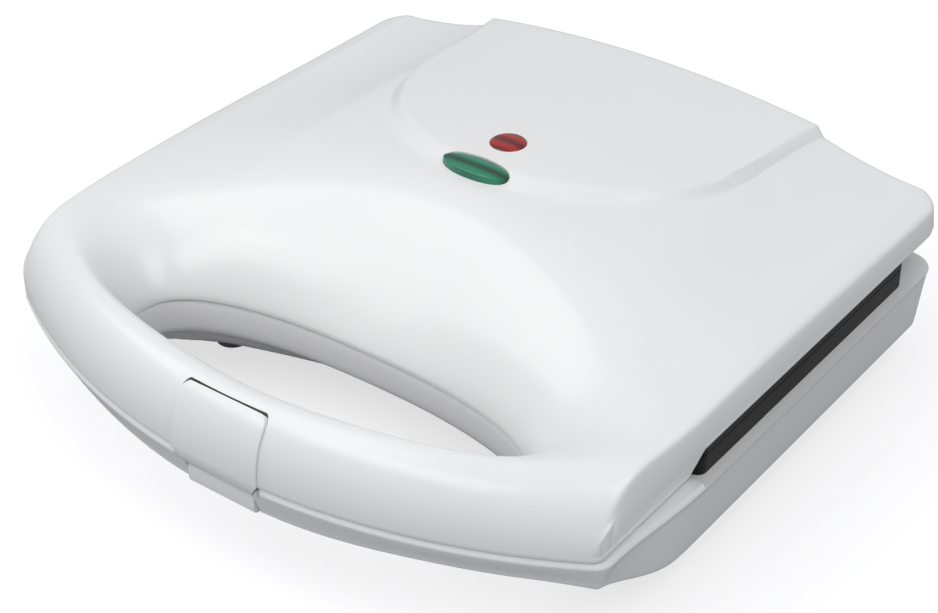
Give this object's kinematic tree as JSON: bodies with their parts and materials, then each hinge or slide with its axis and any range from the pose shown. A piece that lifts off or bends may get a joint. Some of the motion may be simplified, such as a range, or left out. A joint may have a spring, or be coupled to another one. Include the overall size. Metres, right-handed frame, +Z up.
{
  "type": "sandwich toaster",
  "caption": "Countertop sandwich toaster with a crowned lid hinged at the rear, triangular-pocket plates, a bowed handle behind which a window opens, a pivoting latch and two indicator lenses.",
  "frame": {"origin": "on the table under the middle of the housing", "axes": "+X to the right seen from the handle, -Y the handle side, +Z up"},
  "size_m": [0.2246, 0.2193, 0.0768],
  "materials": {
    "housing_white": "moulded, satin to gloss",
    "nonstick_black": "non-stick coated casting",
    "tube_grey": "oxidised heating tube",
    "sheet_steel": "pressed sheet",
    "bright_steel": "plated",
    "ceramic_tan": "ceramic body",
    "fuse_white": "glass-fibre sleeve",
    "block_white": "moulded",
    "wire_grey": "silicone insulation",
    "holder_ivory": "moulded",
    "glow_red": "glow lamp",
    "glow_green": "glow lamp",
    "lens_red": "clear coloured, ribbed inside",
    "lens_green": "clear coloured, ribbed inside",
    "foot_grey": "moulded",
    "bush_grey": "moulded"
  },
  "bodies": {
    "base": {"base_housing": "housing_white", "lower_plate": "nonstick_black", "lower_heating_element": "tube_grey", "lower_element_clamp": "sheet_steel", "lower_reflector": "sheet_steel", "thermostat": "ceramic_tan", "thermal_fuse": "fuse_white", "terminal_block": "block_white", "base_wiring": "wire_grey", "left_hinge_pin": "bright_steel", "right_hinge_pin": "bright_steel", "lower_plate_screws": "bright_steel", "lower_clamp_nut": "bright_steel", "feet": "foot_grey", "cord_inlet": "bush_grey"},
    "lid": {"lid_housing": "housing_white", "upper_plate": "nonstick_black", "upper_heating_element": "tube_grey", "upper_element_clamp": "sheet_steel", "upper_reflector": "sheet_steel", "lid_wiring": "wire_grey", "lamp_holder": "holder_ivory", "red_lamp": "glow_red", "green_lamp": "glow_green", "red_lens": "lens_red", "green_lens": "lens_green", "latch_pin": "bright_steel", "upper_plate_screws": "bright_steel", "upper_clamp_nut": "bright_steel"},
    "latch": {"latch": "housing_white"}
  },
  "joints": [
    {"name": "lid_hinge", "type": "hinge", "parent": "base", "child": "lid", "pos_m": [0, 0.1052, 0.04055], "axis": [-1, 0, 0], "range_deg": [0, 105]},
    {"name": "latch_pivot", "type": "hinge", "parent": "lid", "child": "latch", "pos_m": [0, -0.1019, 0.0512], "axis": [-1, 0, 0], "range_deg": [-3, 30]}
  ]
}
